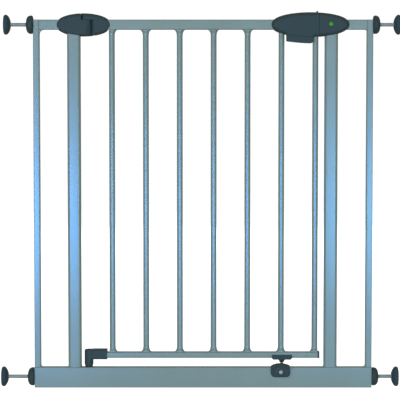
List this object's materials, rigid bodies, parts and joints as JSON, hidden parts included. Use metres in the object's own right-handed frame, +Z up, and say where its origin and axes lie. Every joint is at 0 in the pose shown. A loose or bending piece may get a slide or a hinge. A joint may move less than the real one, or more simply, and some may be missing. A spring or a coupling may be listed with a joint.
{
  "type": "stair gate",
  "caption": "Pressure-fit stair gate: tubular frame, barred swing door, squeeze latch with a lock indicator, swing stop and screw-out wall pads.",
  "frame": {"origin": "on the floor, under the middle of the bottom rail", "axes": "+X from the hinge side to the latch side, +Z up, +Y the way the door opens"},
  "size_m": [0.8125, 0.0429, 0.7682],
  "materials": {
    "silver_paint": "silver-grey powder coat, satin",
    "slate_plastic": "fine-grained moulded plastic, slate",
    "dark_rubber": "matt",
    "zinc_plate": "bright zinc plate",
    "plain_steel": "pressed steel",
    "spring_steel": "drawn wire",
    "signal_green": "moulded in green",
    "clear_green": "clear, tinted by the flag behind it"
  },
  "bodies": {
    "frame": {"bottom_rail": "silver_paint", "left_outer_upright": "silver_paint", "right_outer_upright": "silver_paint", "left_post": "silver_paint", "right_post": "silver_paint", "left_top_rail": "silver_paint", "right_top_rail": "silver_paint", "hinge_post_front_shell": "slate_plastic", "hinge_post_rear_shell": "slate_plastic", "hinge_post_screw": "zinc_plate", "upper_hinge_bracket": "plain_steel", "lower_hinge_pin": "zinc_plate", "strike_front_shell": "slate_plastic", "strike_rear_shell": "slate_plastic", "strike_screw": "zinc_plate", "strike_plate": "plain_steel", "indicator_lens": "clear_green", "swing_stop_rivet": "zinc_plate"},
    "door": {"door_top_rail": "silver_paint", "door_bottom_rail": "silver_paint", "door_bar_1": "silver_paint", "door_bar_2": "silver_paint", "door_bar_3": "silver_paint", "door_bar_4": "silver_paint", "door_bar_5": "silver_paint", "door_bar_6": "silver_paint", "door_bar_7": "silver_paint", "door_end_cap": "slate_plastic", "hinge_door_front_shell": "slate_plastic", "hinge_door_rear_shell": "slate_plastic", "hinge_door_screw": "zinc_plate", "upper_hinge_pin": "zinc_plate", "lower_hinge_bracket": "slate_plastic", "latch_front_shell": "slate_plastic", "latch_rear_shell": "slate_plastic", "latch_screw": "zinc_plate", "lever_pin": "zinc_plate", "bolt_spring": "spring_steel", "handle_spring": "spring_steel", "thumb_slide_spring": "spring_steel", "stop_saddle": "slate_plastic", "stop_pin": "zinc_plate"},
    "handle": {"latch_handle": "slate_plastic"},
    "lever": {"release_lever": "plain_steel"},
    "bolt": {"latch_bolt": "plain_steel"},
    "slide": {"thumb_slide": "slate_plastic"},
    "flag": {"indicator_flag": "signal_green"},
    "stop": {"swing_stop": "slate_plastic"},
    "nut_top_left": {"hand_nut_top_left": "slate_plastic"},
    "spindle_top_left": {"spindle_rod_top_left": "zinc_plate", "wall_pad_top_left": "dark_rubber"},
    "nut_bottom_left": {"hand_nut_bottom_left": "slate_plastic"},
    "spindle_bottom_left": {"spindle_rod_bottom_left": "zinc_plate", "wall_pad_bottom_left": "dark_rubber"},
    "nut_top_right": {"hand_nut_top_right": "slate_plastic"},
    "spindle_top_right": {"spindle_rod_top_right": "zinc_plate", "wall_pad_top_right": "dark_rubber"},
    "nut_bottom_right": {"hand_nut_bottom_right": "slate_plastic"},
    "spindle_bottom_right": {"spindle_rod_bottom_right": "zinc_plate", "wall_pad_bottom_right": "dark_rubber"}
  },
  "joints": [
    {"name": "door_swing", "type": "hinge", "parent": "frame", "child": "door", "pos_m": [-0.2338, 0, 0.06], "axis": [0, 0, 1], "range_deg": [0, 90]},
    {"name": "handle_squeeze", "type": "slide", "parent": "door", "child": "handle", "axis": [0, 0, 1], "range_m": [0, 0.00725], "stiffness_N_per_m": 1500, "springref_m": -0.004, "deforming": ["handle_spring"]},
    {"name": "lever_turn", "type": "hinge", "parent": "door", "child": "lever", "pos_m": [0.197, 0, 0.735], "axis": [0, -1, 0], "range_deg": [0, 30.5]},
    {"name": "bolt_draw", "type": "slide", "parent": "door", "child": "bolt", "axis": [-1, 0, 0], "range_m": [0, 0.009], "deforming": ["bolt_spring"]},
    {"name": "indicator_slide", "type": "slide", "parent": "frame", "child": "flag", "axis": [-1, 0, 0], "range_m": [0, 0.0066]},
    {"name": "thumb_slide_draw", "type": "slide", "parent": "door", "child": "slide", "axis": [-1, 0, 0], "range_m": [0, 0.006], "stiffness_N_per_m": 400, "springref_m": -0.002, "deforming": ["thumb_slide_spring"]},
    {"name": "stop_turn", "type": "hinge", "parent": "frame", "child": "stop", "pos_m": [0.1586, -0.0163, 0.0336], "axis": [0, 1, 0], "range_deg": [0, 180]},
    {"name": "nut_turn_top_left", "type": "hinge", "parent": "frame", "child": "nut_top_left", "pos_m": [-0.3445, 0, 0.74], "axis": [-1, 0, 0], "range_deg": [-4325, 4325]},
    {"name": "spindle_reach_top_left", "type": "slide", "parent": "frame", "child": "spindle_top_left", "axis": [-1, 0, 0], "range_m": [-0.015, 0.015]},
    {"name": "nut_turn_bottom_left", "type": "hinge", "parent": "frame", "child": "nut_bottom_left", "pos_m": [-0.3445, 0, 0.022], "axis": [-1, 0, 0], "range_deg": [-4325, 4325]},
    {"name": "spindle_reach_bottom_left", "type": "slide", "parent": "frame", "child": "spindle_bottom_left", "axis": [-1, 0, 0], "range_m": [-0.015, 0.015]},
    {"name": "nut_turn_top_right", "type": "hinge", "parent": "frame", "child": "nut_top_right", "pos_m": [0.3445, 0, 0.74], "axis": [1, 0, 0], "range_deg": [-4325, 4325]},
    {"name": "spindle_reach_top_right", "type": "slide", "parent": "frame", "child": "spindle_top_right", "axis": [1, 0, 0], "range_m": [-0.015, 0.015]},
    {"name": "nut_turn_bottom_right", "type": "hinge", "parent": "frame", "child": "nut_bottom_right", "pos_m": [0.3445, 0, 0.022], "axis": [1, 0, 0], "range_deg": [-4325, 4325]},
    {"name": "spindle_reach_bottom_right", "type": "slide", "parent": "frame", "child": "spindle_bottom_right", "axis": [1, 0, 0], "range_m": [-0.015, 0.015]}
  ],
  "couplings": [
    {"joint": "lever_turn", "follows": "handle_squeeze", "rad_per_m": 72.221},
    {"joint": "bolt_draw", "follows": "handle_squeeze", "ratio": 1.2138},
    {"joint": "indicator_slide", "follows": "handle_squeeze", "ratio": 0.88276},
    {"joint": "nut_turn_top_left", "follows": "spindle_reach_top_left", "rad_per_m": -5026.5},
    {"joint": "nut_turn_bottom_left", "follows": "spindle_reach_bottom_left", "rad_per_m": -5026.5},
    {"joint": "nut_turn_top_right", "follows": "spindle_reach_top_right", "rad_per_m": -5026.5},
    {"joint": "nut_turn_bottom_right", "follows": "spindle_reach_bottom_right", "rad_per_m": -5026.5}
  ]
}
